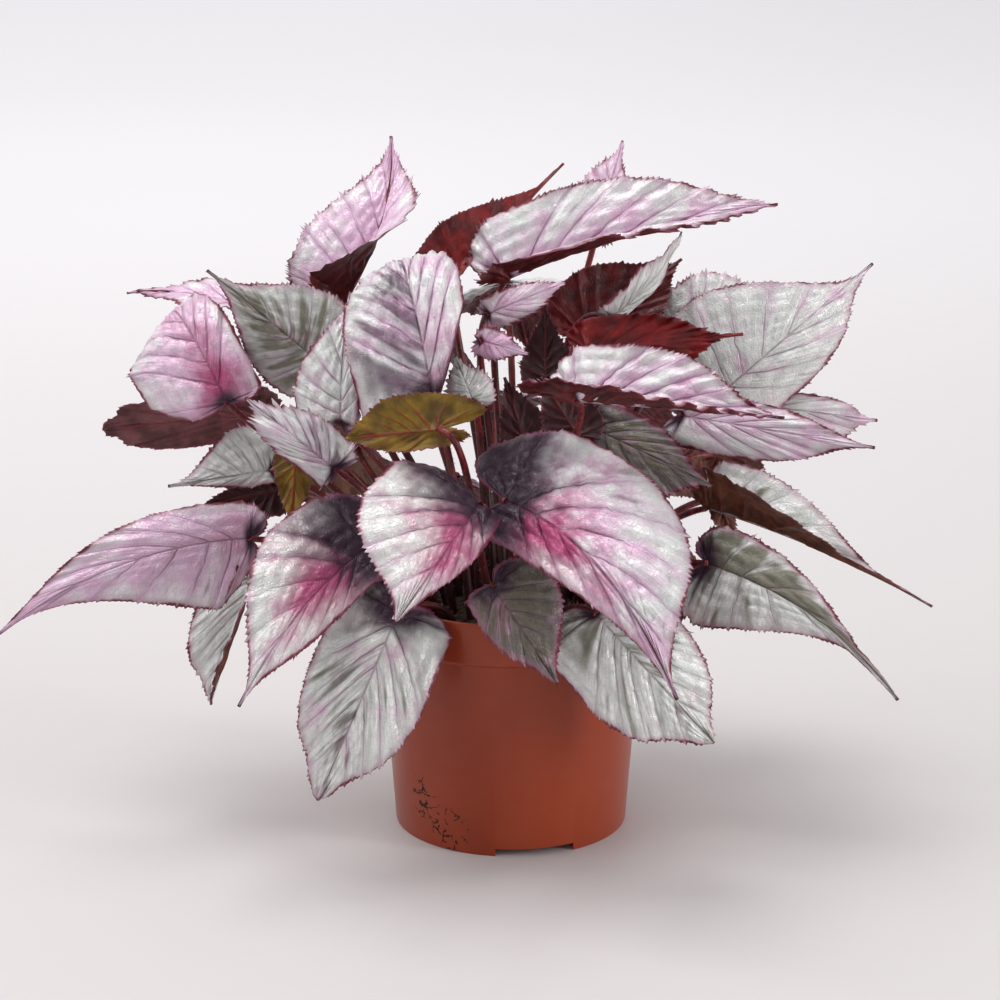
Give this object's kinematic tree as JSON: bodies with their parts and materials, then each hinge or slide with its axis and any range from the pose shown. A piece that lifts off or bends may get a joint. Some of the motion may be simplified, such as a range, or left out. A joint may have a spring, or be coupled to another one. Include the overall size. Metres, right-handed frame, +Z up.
{
  "type": "potted rex begonia",
  "caption": "Potted rex begonia: a bushy clump of pointed, toothed leaves in silver, pink and dark red on arching stalks, rising from dark soil in a plain tapered terracotta-coloured pot",
  "frame": {"origin": "the centre of the pot base, on the surface that it stands on", "axes": "+Z up, +X to the right and -Y towards someone who looks at the plant from its front, which is the side that the picture shows"},
  "size_m": [0.4036, 0.2611, 0.2946],
  "materials": {
    "pot": "terracotta-coloured moulded plastic, semi-gloss",
    "soil": "dark potting mix of peat and bark, coarse and matt",
    "leaf_pink": "living leaf, metallic pink over silver with dark veins and a dark red rim",
    "leaf_silver": "living leaf, metallic silver-green with dark veins and a dark red rim",
    "leaf_olive": "older living leaf, dull grey-green to olive with red veins",
    "leaf_dark": "living leaf seen from below, dark red and satin"
  },
  "bodies": {
    "root": {"pot": "pot", "soil": "soil", "leaf_01": "leaf_pink", "leaf_02": "leaf_pink", "leaf_03": "leaf_olive", "leaf_04": "leaf_silver", "leaf_05": "leaf_olive", "leaf_06": "leaf_silver", "leaf_07": "leaf_pink", "leaf_08": "leaf_dark", "leaf_09": "leaf_pink", "leaf_10": "leaf_silver", "leaf_11": "leaf_dark", "leaf_12": "leaf_dark", "leaf_13": "leaf_pink", "leaf_14": "leaf_silver", "leaf_15": "leaf_pink", "leaf_16": "leaf_pink", "leaf_17": "leaf_pink", "leaf_18": "leaf_olive", "leaf_19": "leaf_silver", "leaf_20": "leaf_olive", "leaf_21": "leaf_silver", "leaf_22": "leaf_olive", "leaf_23": "leaf_silver", "leaf_24": "leaf_olive", "leaf_25": "leaf_pink", "leaf_26": "leaf_silver", "leaf_27": "leaf_pink", "leaf_28": "leaf_olive", "leaf_29": "leaf_silver", "leaf_30": "leaf_pink", "leaf_31": "leaf_pink", "leaf_32": "leaf_dark", "leaf_33": "leaf_pink", "leaf_34": "leaf_pink", "leaf_35": "leaf_dark", "leaf_36": "leaf_silver", "leaf_37": "leaf_dark", "leaf_38": "leaf_pink", "leaf_39": "leaf_dark", "leaf_40": "leaf_dark", "leaf_41": "leaf_dark", "leaf_42": "leaf_pink", "leaf_43": "leaf_silver", "leaf_44": "leaf_pink", "leaf_45": "leaf_silver", "leaf_46": "leaf_pink", "leaf_47": "leaf_pink", "leaf_48": "leaf_silver", "leaf_49": "leaf_silver", "leaf_50": "leaf_olive", "leaf_51": "leaf_silver", "leaf_52": "leaf_olive"}
  },
  "joints": []
}
